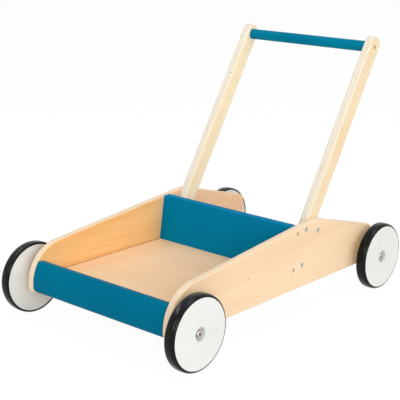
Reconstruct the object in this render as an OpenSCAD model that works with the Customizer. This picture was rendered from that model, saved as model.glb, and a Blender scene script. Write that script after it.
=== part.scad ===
// Baby push walker: a low wooden tray on four wheels with a leaning handle frame.
// X is the width, Y runs from the nose to the handle, Z is up, all in mm.
// The origin is on the floor, midway between the two axles.

/* [Overall] */
// Distance between the front and rear axles
wheelbase = 478; // [390:1:580]
// Width over the outer faces of the side panels
body_w = 300; // [240:1:370]

/* [Side panels] */
// Thickness of a side panel
panel_t = 12; // [10:0.1:15]
// Rounding of the panel edges
panel_ease = 2.6; // [1:0.1:3.5]
// Height of the axles above the panels' lower edge
axle_up = 14; // [12:0.1:18]
// Reach of the nose ahead of the front axle
nose_ahead = 30.5; // [25:0.1:37]
// Radius of the nose
nose_r = 62; // [51:0.5:75]
// Height of the nose's centre above the lower edge
nose_up = 15.5; // [12:0.1:19]
// Radius of the corner under the nose
heel_r = 10; // [6:0.1:13]
// Distance of the panel's highest point behind the back board's foot
peak_behind = 60; // [48:0.1:72]
// Panel height at its highest point
peak_h = 108.5; // [90:0.1:131]
// Radius at the highest point
peak_r = 40; // [30:0.5:50]
// Reach of the tail behind the rear axle
tail_behind = 14; // [12:0.1:20]
// Panel height at the tail
tail_h = 67; // [55:0.1:81]
// Radius of the tail's upper corner
tail_r = 16; // [8:0.1:20]
// Radius of the tail's lower corner
tail_low_r = 8; // [4:0.1:11]

/* [Tray] */
// Thickness of the base board
base_t = 8; // [6:0.1:10]
// Thickness of the tongue that runs round the base, in the grooves and under the back board
tongue_t = 5; // [4:0.1:5.5]
// Height of the base's upper face above the panels' lower edge
base_up = 28; // [24:0.1:34]
// Depth of the grooves that hold the base in the side panels
groove_d = 4; // [3:0.1:5]
// Depth of the groove that holds the base in the front board
front_groove_d = 5; // [3:0.1:6]
// Thickness of the front board through its bulge
front_t = 18; // [15:0.1:22]
// Height of the front board's top above the panels' lower edge
front_h = 52; // [43:0.1:63]
// Lean of the front board's back face
front_lean = 12; // [6:0.5:16]
// Set-back of the front board from the nose of the panels
front_inset = 0.5; // [0:0.1:2]
// Radius under the front board
front_heel_r = 10; // [6:0.1:12]
// Radius along the front board's upper edge
front_top_r = 4; // [2:0.1:5]
// Thickness of the back board
back_t = 12; // [10:0.1:15]
// Distance of the back board's foot behind the front axle
back_at = 257; // [214:0.5:309]
// Lean of the back board
back_lean = 8; // [2:0.5:10]
// Rounding of the boards' long edges
board_ease = 1.5; // [0.5:0.1:2.5]

/* [Handle] */
// Lean of the handle posts
post_lean = 31; // [25:0.5:37]
// Width of a post seen from the side
post_w = 28; // [23:0.1:34]
// Thickness of a post
post_t = 15; // [12.5:0.1:18]
// Rounding of the post edges
post_ease = 3; // [1:0.1:4]
// Length from the lower bolt to the bar
post_len = 388; // [323:1:466]
// Height of the lower bolt above the panels' lower edge
foot_up = 37.4; // [31:0.1:45]
// Gap between the posts' feet and the back board
foot_gap = 1.5; // [0.5:0.1:3]
// Wood standing above the bar, from its axis to the centre of the rounded end
post_over = 4; // [0:0.1:8]
// Diameter of the bar
bar_d = 18; // [15:0.1:21]
// Depth of the sockets that hold the bar
socket_d = 4; // [3:0.1:6]

/* [Wheels] */
// Diameter over the tyre
tyre_d = 116; // [97:0.5:139]
// Thickness of the tyre at its crown
tyre_t = 3.5; // [2.6:0.1:5]
// Radius of the tyre's crown across its width
crown_r = 26; // [18:0.5:40]
// Thickness of the wheel disc
wheel_w = 16.5; // [13.8:0.1:20]
// Set-back of the tyre's edges from the faces of the disc
tyre_inset = 0.7; // [0.3:0.1:1.5]
// Chamfer on the rim of the disc
rim_ease = 0.8; // [0.4:0.1:1.2]
// Diameter of the recess in the hub
recess_dia = 21; // [20:0.1:26]
// Depth of the recess in the hub
recess_d = 6.5; // [5.5:0.1:8]
// Gap between a side panel and the wheel, filled by the wooden spacer
spacer_len = 16.7; // [12:0.1:20]
// Diameter of the wooden spacer
spacer_dia = 22; // [18:0.1:26]

/* [Hardware] */
// Outside diameter of the axle sleeve
sleeve_dia = 10; // [9:0.1:12]
// Wheel bolt and handle bolt thread
bolt_dia = 6; // [5:0.1:6.5]
// Diameter of the wheel bolt's head
bolt_head_dia = 10.5; // [9:0.1:12]
// Height of the wheel bolt's head
bolt_head_h = 3.3; // [2.5:0.1:4]
// Width across the flats of the hexagon socket
hex_af = 4; // [3:0.1:5]
// Outside diameter of the hub washer
washer_dia = 18; // [15:0.1:19]
// Thickness of the hub washer
washer_t = 1.5; // [1:0.1:2]
// Outside diameter of the threaded insert
insert_dia = 10; // [9:0.1:12]
// Diameter of a handle bolt's head
handle_head_dia = 9; // [8:0.1:11]
// Height of a handle bolt's head
handle_head_h = 2.2; // [1.5:0.1:3]
// Depth of the seat of a handle bolt's head
handle_seat = 1.4; // [0.8:0.1:2]
// Diameter of the handle inserts and of a sleeve nut's barrel
barrel_dia = 8.6; // [8:0.1:10]
// Length of a handle insert, set in a post from its outer face
handle_insert = 11; // [9:0.1:11.5]
// Diameter of a sleeve nut's flange
flange_dia = 14; // [12:0.1:16]
// Thickness of a sleeve nut's flange
flange_t = 2; // [1.5:0.1:3]
// Height of the spare bolt below the panel's upper edge
spare_down = 9.5; // [8:0.1:14]
// Distance of the spare bolt behind the lower bolt
spare_back = 6; // [0:0.1:8]
// Height of the upper bolt below the panel's highest point
lock_down = 20; // [14:0.1:26]
// Set-back of the upper bolt from the middle of the post
lock_off = 6.5; // [0:0.1:7]
// Set-back of the lower bolt from the middle of the post
foot_off = -2.5; // [-4:0.1:4]
// Diameter of a wood screw
screw_dia = 4; // [3.5:0.1:5]
// Diameter of a wood screw's head
screw_head_dia = 7.4; // [6.5:0.1:8.5]
// Length of a board screw
screw_len = 40; // [33:0.5:48]
// Distance of the board screws from the ends of the back board
screw_edge = 10; // [7:0.1:12]
// Set-back of the board screws from the middle of the back board
screw_off = -2; // [-2:0.1:2]
// Diameter of the dowels in the front board
dowel_dia = 8; // [6:0.1:9]
// Depth of a dowel in the side panel
dowel_in_panel = 8; // [5:0.1:8.5]
// Depth of a dowel in the front board
dowel_in_board = 24; // [18:0.1:30]
// Distance of a dowel from the middle of the front board
dowel_step = 12.5; // [10:0.1:15]

/* [Clearances] */
// Radial clearance of a wheel on its sleeve
run_clear = 0.08; // [0.04:0.01:0.1]
// End play on each side of a wheel
play = 0.3; // [0.2:0.05:0.6]
// Radial clearance of fasteners and of the bar in their holes
hole_clear = 0.05; // [0.02:0.01:0.15]
// Clearance of the base in its grooves
groove_clear = 0.1; // [0.05:0.05:0.3]
// Set-back of the base's edges from the bottom of the grooves
groove_end = 0.3; // [0.1:0.1:0.5]
// Gap between the tray's floor and the boards round it
floor_gap = 0.2; // [0.1:0.05:0.4]
// Thickness of a sheet that lies on the floor clear of the leaning front board
sheet_t = 3; // [2.5:0.1:4]

/* [Hidden] */
$fn = 72;
left = -1;
right = 1;
half_w = body_w / 2;
inner_x = half_w - panel_t;
front_y = -wheelbase / 2;
rear_y = wheelbase / 2;
axle_z = tyre_d / 2;
low_z = axle_z - axle_up;

// circles round which the outline of a side panel runs, each [y, z, radius]
nose_y = front_y - nose_ahead + nose_r;
nose_z = low_z + nose_up;
heel_z = low_z + heel_r;
heel_y = nose_y - sqrt(pow(nose_r - heel_r, 2) - pow(nose_z - heel_z, 2));
back_y = front_y + back_at;
peak_y = back_y + peak_behind;
peak_z = low_z + peak_h;
tail_y = rear_y + tail_behind;
panel_ring = [
    [heel_y, heel_z, heel_r],
    [tail_y - tail_low_r, low_z + tail_low_r, tail_low_r],
    [tail_y - tail_r, low_z + tail_h - tail_r, tail_r],
    [peak_y, peak_z - peak_r, peak_r],
    [nose_y, nose_z, nose_r]
];

// upper edge of the panels between the nose and the highest point
top_turn = turn(panel_ring[3], panel_ring[4]);
top_reach = nose_y * cos(top_turn) + nose_z * sin(top_turn) + nose_r;

base_z = low_z + base_up;
base_low = base_z - base_t;
tongue_z = base_low + tongue_t;
base_w = 2 * (inner_x + groove_d - groove_end);

// front board
front_r = nose_r - front_inset;
front_low = low_z + 2;
front_heel_z = front_low + front_heel_r;
front_heel_y = nose_y - sqrt(pow(front_r - front_heel_r, 2) - pow(nose_z - front_heel_z, 2));
front_top_z = low_z + front_h - front_top_r;
front_top_y = nose_y - sqrt(pow(front_r - front_top_r, 2) - pow(front_top_z - nose_z, 2));
front_up = [sin(front_lean), cos(front_lean)];
front_out = [cos(front_lean), -sin(front_lean)];
front_back = front_out * [nose_y, nose_z] - front_r + front_t;
front_upper = front_up * [front_top_y, front_top_z] + front_top_r;
front_ring = [
    [front_heel_y, front_heel_z, front_heel_r],
    [front_back_y(front_low + board_ease, board_ease), front_low + board_ease, board_ease],
    concat(front_at(front_back - board_ease, front_upper - board_ease), board_ease),
    [front_top_y, front_top_z, front_top_r],
    [nose_y, nose_z, front_r]
];
front_mid = front_out * [nose_y, nose_z] - front_r + front_t / 2;
front_foot_up = (front_low + front_mid * sin(front_lean)) / cos(front_lean);
front_mid_up = (front_foot_up + front_upper) / 2;
base_front = front_back_y(tongue_z, 0) - front_groove_d;
base_rear = back_y + back_t / cos(back_lean);
floor_front = front_back_y(base_z + sheet_t, 0) + floor_gap;
floor_rear = back_y - floor_gap;
floor_w = 2 * (inner_x - floor_gap);

// back board
back_up = [sin(back_lean), cos(back_lean)];
back_corners = [
    [back_y, tongue_z],
    [base_rear, tongue_z],
    to_top([base_rear, tongue_z], back_up),
    to_top([back_y, tongue_z], back_up)
];
back_ring = corner_ring(back_corners, board_ease);
back_len = norm(back_corners[3] - back_corners[0]);
back_mid = [back_y + (back_t / 2 + screw_off) / cos(back_lean), tongue_z];
back_screws = [back_mid + screw_edge * back_up, back_mid + (back_len - screw_edge) * back_up];

// handle
post_up = [sin(post_lean), cos(post_lean)];
post_out = [cos(post_lean), -sin(post_lean)];
foot_z = low_z + foot_up;
foot_y = base_rear + (post_w / 2 + foot_gap) / cos(back_lean) + (foot_z - tongue_z) * tan(back_lean);
foot = [foot_y, foot_z];
bar_at = foot + post_len * post_up;
post_end = bar_at + post_over * post_up;
post_ring = [concat(foot, post_w / 2), concat(post_end, post_w / 2)];
foot_bolt = foot + foot_off * post_out;
lock_up = (peak_z - lock_down - foot_z + lock_off * sin(post_lean)) / cos(post_lean);
lock = foot + lock_up * post_up + lock_off * post_out;
spare_y = foot_y + spare_back;
spare = [spare_y, top_at(spare_y) - spare_down];

// wheels
disc_r = axle_z - tyre_t;
hub_z = spacer_len + play;
sleeve_len = hub_z + wheel_w - recess_d + play;

wood = [0.93, 0.82, 0.66];
teal = [0.0, 0.44, 0.56];
white = [0.93, 0.93, 0.91];
black = [0.13, 0.13, 0.13];
steel = [0.72, 0.73, 0.75];

// direction of the outward normal of the line that joins circle a to circle b
function turn(a, b) = atan2(b[1] - a[1], b[0] - a[0])
    - acos(max(-1, min(1, (a[2] - b[2]) / norm([b[0] - a[0], b[1] - a[1]]))));
// the same angle, brought to within a turn after another one
function after(low, t) = t < low - 0.001 ? after(low, t + 360) : t >= low + 359.9 ? after(low, t - 360) : t;
// points of the line that runs round a list of circles, moved in by a margin
function outline(ring, inset) = [
    for (i = [0 : len(ring) - 1])
        let (
            c = ring[i],
            t0 = turn(ring[(i + len(ring) - 1) % len(ring)], c),
            t1 = after(t0, turn(c, ring[(i + 1) % len(ring)])),
            n = max(2, ceil((t1 - t0) / (c[2] > 30 ? 3 : 7.5)))
        )
        for (k = [0 : n])
            let (t = t0 + (t1 - t0) * k / n)
            [c[0] + (c[2] - inset) * cos(t), c[1] + (c[2] - inset) * sin(t)]
];
// circles that round the corners of a convex outline
function corner_ring(p, r) = [
    for (i = [0 : len(p) - 1])
        let (
            a = p[(i + len(p) - 1) % len(p)],
            b = p[i],
            c = p[(i + 1) % len(p)],
            d1 = (b - a) / norm(b - a),
            d2 = (c - b) / norm(c - b),
            n1 = [-d1[1], d1[0]],
            n2 = [-d2[1], d2[0]]
        )
        concat(b + r * (n1 + n2) / (1 + n1 * n2), r)
];
// height of the panels' upper edge at a given y
function top_at(y) = (top_reach - y * cos(top_turn)) / sin(top_turn);
// where a line from a point meets the panels' upper edge
function to_top(p, d) = p + d * (top_reach - p * [cos(top_turn), sin(top_turn)])
    / (d * [cos(top_turn), sin(top_turn)]);
// y of the front board's back face at a height, moved in by a margin
function front_back_y(z, inset) = (front_back - inset + z * sin(front_lean)) / cos(front_lean);
// point of the front board by its distance along the thickness and up the face
function front_at(t, up) = t * front_out + up * front_up;

module on_side(side) {
    if (side == right) children();
    else mirror([1, 0, 0]) children();
}

// turns a shape drawn in y and z to stand across the width
module across(x0, x1) {
    translate([x0, 0, 0])
        rotate([90, 0, 90])
            linear_extrude(x1 - x0) children();
}

// runs along +x from a point of the right-hand side
module peg_at(x, p) {
    translate([x, p[0], p[1]])
        rotate([0, 90, 0]) children();
}

module rod(r, a, b) {
    translate([0, 0, a]) cylinder(r = r, h = b - a);
}

// convex board with rounded edges, standing across the width
module eased_board(ring, x0, x1, ease) {
    hull()
        for (a = [0, 30, 60, 90])
            across(x0 + ease * (1 - cos(a)), x1 - ease * (1 - cos(a)))
                polygon(outline(ring, ease * (1 - sin(a))));
}

module side_panel(side) {
    color(wood) on_side(side) difference() {
        eased_board(panel_ring, inner_x, half_w, panel_ease);
        // groove for the base
        translate([inner_x - 1, base_front - groove_end, base_low - groove_clear])
            cube([groove_d + 1, base_rear - base_front + 2 * groove_end, tongue_t + 2 * groove_clear]);
        // axle inserts
        for (y = [front_y, rear_y])
            peg_at(inner_x, [y, axle_z]) rod(insert_dia / 2 + hole_clear, -1, panel_t + 1);
        // handle bolts
        for (p = [foot_bolt, lock, spare])
            peg_at(half_w, p) {
                rod(bolt_dia / 2 + hole_clear, -panel_t - 1, 1);
                rod(handle_head_dia / 2 + hole_clear, -handle_seat, 1);
            }
        peg_at(inner_x, spare) rod(barrel_dia / 2 + hole_clear, -1, spare_barrel() + hole_clear);
        // back board screws and front board dowels
        for (p = back_screws)
            peg_at(half_w, p) screw_hole();
        for (p = dowel_places())
            peg_at(inner_x, p) rod(dowel_dia / 2 + hole_clear, -1, dowel_in_panel + groove_end);
    }
}

function spare_barrel() = panel_t - handle_seat - 2.5;
function dowel_places() = [
    front_at(front_mid, front_mid_up - dowel_step),
    front_at(front_mid, front_mid_up + dowel_step)
];

// a thin tongue all round, and the floor of the tray standing on it
module base_board() {
    color(wood) {
        translate([-base_w / 2, base_front, base_low])
            cube([base_w, base_rear - base_front, tongue_t]);
        translate([-floor_w / 2, floor_front, base_low])
            cube([floor_w, floor_rear - floor_front, base_t]);
    }
}

module front_board() {
    color(teal) difference() {
        across(-inner_x, inner_x) polygon(outline(front_ring, 0));
        translate([-inner_x - 1, base_front - groove_end, base_low - groove_clear])
            cube([2 * inner_x + 2, front_t + front_groove_d, tongue_t + 2 * groove_clear]);
        for (side = [left, right])
            for (p = dowel_places())
                on_side(side)
                    peg_at(inner_x, p) rod(dowel_dia / 2 + hole_clear, -dowel_in_board - groove_end, 1);
    }
}

module back_board() {
    color(teal) difference() {
        across(-inner_x, inner_x) polygon(outline(back_ring, 0));
        for (side = [left, right])
            for (p = back_screws)
                on_side(side) peg_at(half_w, p) screw_hole();
    }
}

// hole of a countersunk screw whose head ends at z = 0, pointing to -z
module screw_hole() {
    rod(screw_dia / 2 + hole_clear, -screw_len - groove_end, 1);
    translate([0, 0, -screw_cone()])
        cylinder(r1 = screw_dia / 2 + hole_clear, r2 = screw_head_dia / 2 + hole_clear, h = screw_cone());
    rod(screw_head_dia / 2 + hole_clear, 0, 1);
}

function screw_cone() = (screw_head_dia - screw_dia) / 2 + 0.6;

// countersunk wood screw with a cross socket
module wood_screw() {
    difference() {
        rotate_extrude()
            polygon([
                [0, -screw_len],
                [0.4, -screw_len],
                [screw_dia / 2, -screw_len + screw_dia],
                [screw_dia / 2, -screw_cone()],
                [screw_head_dia / 2, -0.1],
                [0, -0.1]
            ]);
        for (a = [0, 90])
            rotate([0, 0, a])
                translate([-screw_dia / 2, -0.5, -1.6])
                    cube([screw_dia, 1, 2]);
    }
}

module back_board_screws(side) {
    color(steel) on_side(side)
        for (p = back_screws)
            peg_at(half_w, p) wood_screw();
}

module front_dowels(side) {
    color(wood) on_side(side)
        for (p = dowel_places())
            peg_at(inner_x, p) rod(dowel_dia / 2, -dowel_in_board, dowel_in_panel);
}

module handle_post(side) {
    color(wood) on_side(side) difference() {
        eased_board(post_ring, inner_x - post_t, inner_x, post_ease);
        for (p = [foot_bolt, lock])
            peg_at(inner_x, p) rod(barrel_dia / 2 + hole_clear, -handle_insert - groove_end, 1);
        peg_at(inner_x - post_t, bar_at) rod(bar_d / 2 + hole_clear, -1, socket_d + hole_clear);
        peg_at(inner_x, bar_at) {
            rod(screw_dia / 2 + hole_clear, -post_t, 1);
            rod(screw_head_dia / 2 + 2 * hole_clear, -bar_seat(), 1);
        }
    }
}

function bar_seat() = post_t / 3;
function bar_half() = inner_x - post_t + socket_d;

module handle_bar() {
    color(teal) difference() {
        peg_at(0, bar_at) rod(bar_d / 2, -bar_half(), bar_half());
        for (side = [left, right])
            on_side(side)
                peg_at(inner_x - bar_seat(), bar_at)
                    rod(screw_dia / 2 + hole_clear, -screw_len - groove_end, 1);
    }
}

// pan-head screw through a post into the end of the bar
module bar_screw(side) {
    color(steel) on_side(side)
        peg_at(inner_x - bar_seat(), bar_at) difference() {
            union() {
                rod(screw_head_dia / 2, 0, screw_dia * 0.6);
                rod(screw_dia / 2, -screw_len, 0.1);
            }
            translate([0, 0, screw_dia * 0.2])
                cylinder(d = hex_af * 0.75 / cos(30), h = screw_dia, $fn = 6);
        }
}

// each place goes with the bolt's reach past the panel's inner face
module handle_bolts(side) {
    color(steel) on_side(side)
        for (p = [[foot_bolt, handle_insert - 1], [lock, handle_insert - 1], [spare, -1]])
            peg_at(half_w - handle_seat, p[0]) difference() {
                union() {
                    rotate_extrude() polygon([
                        [0, 0],
                        [handle_head_dia / 2, 0],
                        [handle_head_dia / 2, handle_head_h - 0.6],
                        [handle_head_dia / 2 - 0.6, handle_head_h],
                        [0, handle_head_h]
                    ]);
                    rod(bolt_dia / 2, handle_seat - panel_t - p[1], 0.1);
                }
                translate([0, 0, handle_head_h - 1.4])
                    cylinder(d = hex_af / cos(30), h = 2, $fn = 6);
            }
}

// threaded inserts that take the two working bolts, hidden in a post
module handle_inserts(side) {
    color(steel) on_side(side)
        for (p = [foot_bolt, lock])
            peg_at(inner_x, p) difference() {
                rod(barrel_dia / 2, -handle_insert, 0);
                rod(bolt_dia / 2 + hole_clear, -handle_insert - 1, 1);
            }
}

// barrel nut of the spare bolt, with its flange against the panel's inner face
module sleeve_nut(side) {
    color(steel) on_side(side) peg_at(inner_x, spare) difference() {
        union() {
            rotate_extrude() polygon([
                [0, -flange_t],
                [flange_dia / 2 - 0.8, -flange_t],
                [flange_dia / 2, -flange_t + 0.8],
                [flange_dia / 2, 0],
                [0, 0]
            ]);
            rod(barrel_dia / 2, -0.1, spare_barrel());
        }
        rod(bolt_dia / 2 + hole_clear, 0.5, spare_barrel() + 1);
        translate([0, 0, -flange_t - 1])
            cylinder(d = hex_af / cos(30), h = 2, $fn = 6);
    }
}

// stands a wheel part on an axle: z = 0 is the outer face of the side panel
module at_axle(side, y) {
    on_side(side) peg_at(half_w, [y, axle_z]) children();
}

module wheel_disc(side, y) {
    bore = sleeve_dia / 2 + run_clear;
    color(white) at_axle(side, y)
        translate([0, 0, hub_z])
            rotate_extrude() polygon([
                [bore, 0.5],
                [bore + 0.5, 0],
                [disc_r - rim_ease, 0],
                [disc_r, rim_ease],
                [disc_r, wheel_w - rim_ease],
                [disc_r - rim_ease, wheel_w],
                [recess_dia / 2 + 0.8, wheel_w],
                [recess_dia / 2, wheel_w - 0.8],
                [recess_dia / 2, wheel_w - recess_d],
                [bore, wheel_w - recess_d]
            ]);
}

module tyre(side, y) {
    tyre_w = wheel_w - 2 * tyre_inset;
    color(black) at_axle(side, y)
        translate([0, 0, hub_z + wheel_w / 2])
            rotate_extrude($fn = 96) intersection() {
                translate([axle_z - crown_r, 0]) circle(r = crown_r);
                translate([disc_r, -tyre_w / 2]) square([tyre_t + 1, tyre_w]);
            }
}

module spacer(side, y) {
    color(wood) at_axle(side, y)
        rotate_extrude() polygon([
            [sleeve_dia / 2 + hole_clear, 0],
            [spacer_dia / 2 - 0.8, 0],
            [spacer_dia / 2, 0.8],
            [spacer_dia / 2, spacer_len - 0.8],
            [spacer_dia / 2 - 0.8, spacer_len],
            [sleeve_dia / 2 + hole_clear, spacer_len]
        ]);
}

module axle_sleeve(side, y) {
    color(steel) at_axle(side, y) difference() {
        rod(sleeve_dia / 2, 0, sleeve_len);
        rod(bolt_dia / 2 + 2 * hole_clear, -1, sleeve_len + 1);
    }
}

module hub_washer(side, y) {
    color(steel) at_axle(side, y) difference() {
        rod(washer_dia / 2, sleeve_len, sleeve_len + washer_t);
        rod(bolt_dia / 2 + 2 * hole_clear, sleeve_len - 1, sleeve_len + washer_t + 1);
    }
}

// button-head bolt that holds a wheel on its sleeve
module wheel_bolt(side, y) {
    seat = sleeve_len + washer_t;
    r = bolt_head_dia / 2;
    color(steel) at_axle(side, y) difference() {
        rotate_extrude() polygon(concat(
            [
                [0, 1 - panel_t],
                [bolt_dia / 2 - 0.6, 1 - panel_t],
                [bolt_dia / 2, 1.6 - panel_t],
                [bolt_dia / 2, seat],
                [r, seat]
            ],
            [for (a = [0 : 15 : 75]) [r * (0.6 + 0.4 * cos(a)), seat + 0.8 + (bolt_head_h - 0.8) * sin(a)]],
            [[0.6 * r, seat + bolt_head_h], [0, seat + bolt_head_h]]
        ));
        translate([0, 0, seat + bolt_head_h - 2.2])
            cylinder(d = hex_af / cos(30), h = 4, $fn = 6);
    }
}

// threaded inserts, pressed into a side panel
module axle_inserts(side) {
    color(steel)
        for (y = [front_y, rear_y])
            at_axle(side, y) difference() {
                rod(insert_dia / 2, -panel_t, 0);
                rod(bolt_dia / 2 + hole_clear, -panel_t - 1, 1);
            }
}

side_panel(left);  // side_panel_left
side_panel(right);  // side_panel_right
base_board();
front_board();
back_board();
handle_post(left);  // handle_post_left
handle_post(right);  // handle_post_right
handle_bar();
wheel_disc(left, front_y);  // wheel_disc_front_left
wheel_disc(right, front_y);  // wheel_disc_front_right
wheel_disc(left, rear_y);  // wheel_disc_rear_left
wheel_disc(right, rear_y);  // wheel_disc_rear_right
tyre(left, front_y);  // tyre_front_left
tyre(right, front_y);  // tyre_front_right
tyre(left, rear_y);  // tyre_rear_left
tyre(right, rear_y);  // tyre_rear_right
spacer(left, front_y);  // spacer_front_left
spacer(right, front_y);  // spacer_front_right
spacer(left, rear_y);  // spacer_rear_left
spacer(right, rear_y);  // spacer_rear_right
axle_sleeve(left, front_y);  // axle_sleeve_front_left
axle_sleeve(right, front_y);  // axle_sleeve_front_right
axle_sleeve(left, rear_y);  // axle_sleeve_rear_left
axle_sleeve(right, rear_y);  // axle_sleeve_rear_right
hub_washer(left, front_y);  // hub_washer_front_left
hub_washer(right, front_y);  // hub_washer_front_right
hub_washer(left, rear_y);  // hub_washer_rear_left
hub_washer(right, rear_y);  // hub_washer_rear_right
wheel_bolt(left, front_y);  // wheel_bolt_front_left
wheel_bolt(right, front_y);  // wheel_bolt_front_right
wheel_bolt(left, rear_y);  // wheel_bolt_rear_left
wheel_bolt(right, rear_y);  // wheel_bolt_rear_right
axle_inserts(left);  // axle_inserts_left
axle_inserts(right);  // axle_inserts_right
handle_bolts(left);  // handle_bolts_left
handle_bolts(right);  // handle_bolts_right
handle_inserts(left);  // handle_inserts_left
handle_inserts(right);  // handle_inserts_right
sleeve_nut(left);  // sleeve_nut_left
sleeve_nut(right);  // sleeve_nut_right
back_board_screws(left);  // back_board_screws_left
back_board_screws(right);  // back_board_screws_right
bar_screw(left);  // bar_screw_left
bar_screw(right);  // bar_screw_right
front_dowels(left);  // front_dowels_left
front_dowels(right);  // front_dowels_right
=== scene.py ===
# %% [markdown]
# # A wooden push walker
# The walker is a low tray between two plywood side panels, on four rubber-tyred wheels, with a leaning
# handle. The packed CAD model is the frame: it is loaded once, never moved, and every new piece is placed
# by the same sizes. The finished looks have to stay inside it.

# %% Load the frame
import math

import bpy
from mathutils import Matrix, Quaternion, Vector


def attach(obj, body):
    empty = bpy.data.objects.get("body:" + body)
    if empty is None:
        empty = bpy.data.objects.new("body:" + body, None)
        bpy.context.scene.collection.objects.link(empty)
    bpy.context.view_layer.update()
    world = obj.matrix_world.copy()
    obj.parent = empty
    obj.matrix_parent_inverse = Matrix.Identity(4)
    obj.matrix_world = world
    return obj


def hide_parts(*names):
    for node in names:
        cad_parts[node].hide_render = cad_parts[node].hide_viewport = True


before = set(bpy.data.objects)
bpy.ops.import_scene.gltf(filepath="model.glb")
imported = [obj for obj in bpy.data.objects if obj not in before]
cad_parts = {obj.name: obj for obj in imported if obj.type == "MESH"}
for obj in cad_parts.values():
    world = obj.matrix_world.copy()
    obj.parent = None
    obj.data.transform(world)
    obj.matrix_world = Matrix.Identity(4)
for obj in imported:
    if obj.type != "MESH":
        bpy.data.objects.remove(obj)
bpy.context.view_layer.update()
MM = 0.001

# %% [markdown]
# ## Sizes and outlines
# All sizes are those of the CAD part, in mm, with the front axle at y = -239. A board's outline could be
# kept as a long list of points. Here it is a ring of circles (y, z, radius), and a string pulled tight
# round them gives the outline. A maker draws such a panel with compasses and a ruler in the same way, and
# every corner stays smooth.

# %% Sizes
WHEELBASE, AXLE_Z = 478.0, 58.0
FRONT_Y, REAR_Y = -WHEELBASE / 2, WHEELBASE / 2
PANEL_OUT, PANEL_IN = 150.0, 138.0
BASE_TOP, TONGUE_TOP, BASE_LOW = 72.0, 69.0, 64.0
FLOOR_HALF = 137.8
PANEL_RING = [
    (-259.208, 54.0, 10.0), (245.0, 52.0, 8.0), (237.0, 95.0, 16.0), (78.0, 112.5, 40.0),
    (-207.5, 59.5, 62.0),
]


def tangent(a, b):
    """Direction, from a circle's centre, of the tight string that leaves circle a for circle b."""
    along, up = b[0] - a[0], b[1] - a[1]
    share = (a[2] - b[2]) / math.hypot(along, up)
    return math.atan2(up, along) - math.acos(max(-1.0, min(1.0, share)))


print("outline circles of a side panel:", len(PANEL_RING))
print("upper edge leans by", round(math.degrees(tangent(PANEL_RING[3], PANEL_RING[4])) - 90, 1), "degrees")

# %% [markdown]
# ## Drawing with a single vertex
# Boards with curved outlines could be cut from a cube with many bisects. Drawing the outline is simpler and
# truer: a plane is merged to one vertex, which is then extruded along each straight line and spun along
# each arc. An operator acts on all that is selected, so everything is deselected before a new mesh is
# added.

# %% Helpers that draw
MERGE_WITHIN = 0.002


def deselect():
    """Leaves edit mode and selects nothing."""
    if bpy.context.mode != "OBJECT":
        bpy.ops.object.mode_set(mode="OBJECT")
    bpy.ops.object.select_all(action="DESELECT")


def lone_vertex(name, place):
    """A new object that holds one selected vertex, in edit mode. The place is in mm."""
    deselect()
    bpy.ops.mesh.primitive_plane_add(size=MM, location=(0, 0, 0))
    piece = bpy.context.object
    piece.name = piece.data.name = name
    bpy.ops.object.mode_set(mode="EDIT")
    bpy.ops.mesh.select_mode(type="VERT")
    bpy.ops.mesh.select_all(action="SELECT")
    bpy.ops.mesh.merge(type="CENTER")
    bpy.ops.transform.translate(value=Vector(place) * MM)
    return piece


def pull(step):
    """Extrudes what is selected along a step in mm."""
    bpy.ops.mesh.extrude_region_move(TRANSFORM_OT_translate={"value": Vector(step) * MM})


def sweep(centre, angle, steps):
    """Spins what is selected round the x direction. Headless, spin turns against the right-hand rule."""
    bpy.ops.mesh.spin(steps=steps, angle=-angle, center=Vector(centre) * MM, axis=(1, 0, 0))


def merge_doubles():
    """Merges vertices that share a place, and leaves everything selected."""
    bpy.ops.mesh.select_all(action="SELECT")
    bpy.ops.mesh.remove_doubles(threshold=MERGE_WITHIN * MM)
    bpy.ops.mesh.select_all(action="SELECT")


def close_mesh():
    """Merges doubles, turns every face outwards and leaves edit mode."""
    merge_doubles()
    bpy.ops.mesh.normals_make_consistent(inside=False)
    bpy.ops.object.mode_set(mode="OBJECT")


print("doubles merge within", MERGE_WITHIN, "mm")

# %% [markdown]
# ## Tracing a board
# A board's outline is an arc on each circle of its ring and a straight line from each circle to the next.
# The closed loop is filled and pulled to the board's thickness. A large arc gets shorter steps than a small
# one, because its flats would be longer and would show first.

# %% Tracing a board
ARC_STEP, LARGE_ARC_STEP, LARGE_R = 0.09, 0.045, 30.0
NO_TURN = 1e-4


def trace_board(name, ring, x0, x1):
    """A board whose side outline runs round a ring of circles, from x0 to x1."""
    turns = [tangent(circle, ring[(i + 1) % len(ring)]) for i, circle in enumerate(ring)]

    def on_circle(i, turn):
        y, z, r = ring[i]
        return Vector((x0, y + r * math.cos(turn), z + r * math.sin(turn)))

    piece = lone_vertex(name, on_circle(0, turns[-1]))
    for i, (y, z, r) in enumerate(ring):
        angle = (turns[i] - turns[i - 1]) % math.tau
        if NO_TURN < angle < math.tau - NO_TURN:
            arc_step = LARGE_ARC_STEP if r > LARGE_R else ARC_STEP
            sweep((x0, y, z), angle, max(2, math.ceil(angle / arc_step)))
        pull(on_circle((i + 1) % len(ring), turns[i]) - on_circle(i, turns[i]))
    merge_doubles()
    bpy.ops.mesh.edge_face_add()
    pull((x1 - x0, 0, 0))
    close_mesh()
    return piece


print("a small quarter circle takes", math.ceil(math.pi / 2 / ARC_STEP), "steps")

# %% [markdown]
# ## Rounding and drilling
# Every wooden edge on the walker is sanded round, so that a child can't get hurt on it. Edges could be
# picked one by one, but a Bevel modifier with an angle limit finds the rim of a board and leaves its smooth
# outline alone. Holes and seats for bolts are cut with Boolean modifiers, as a drill would, and stay round
# and clean.

# %% Helpers that cut
BEYOND = 1.0  # how far a cutter reaches out of the wood


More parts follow.
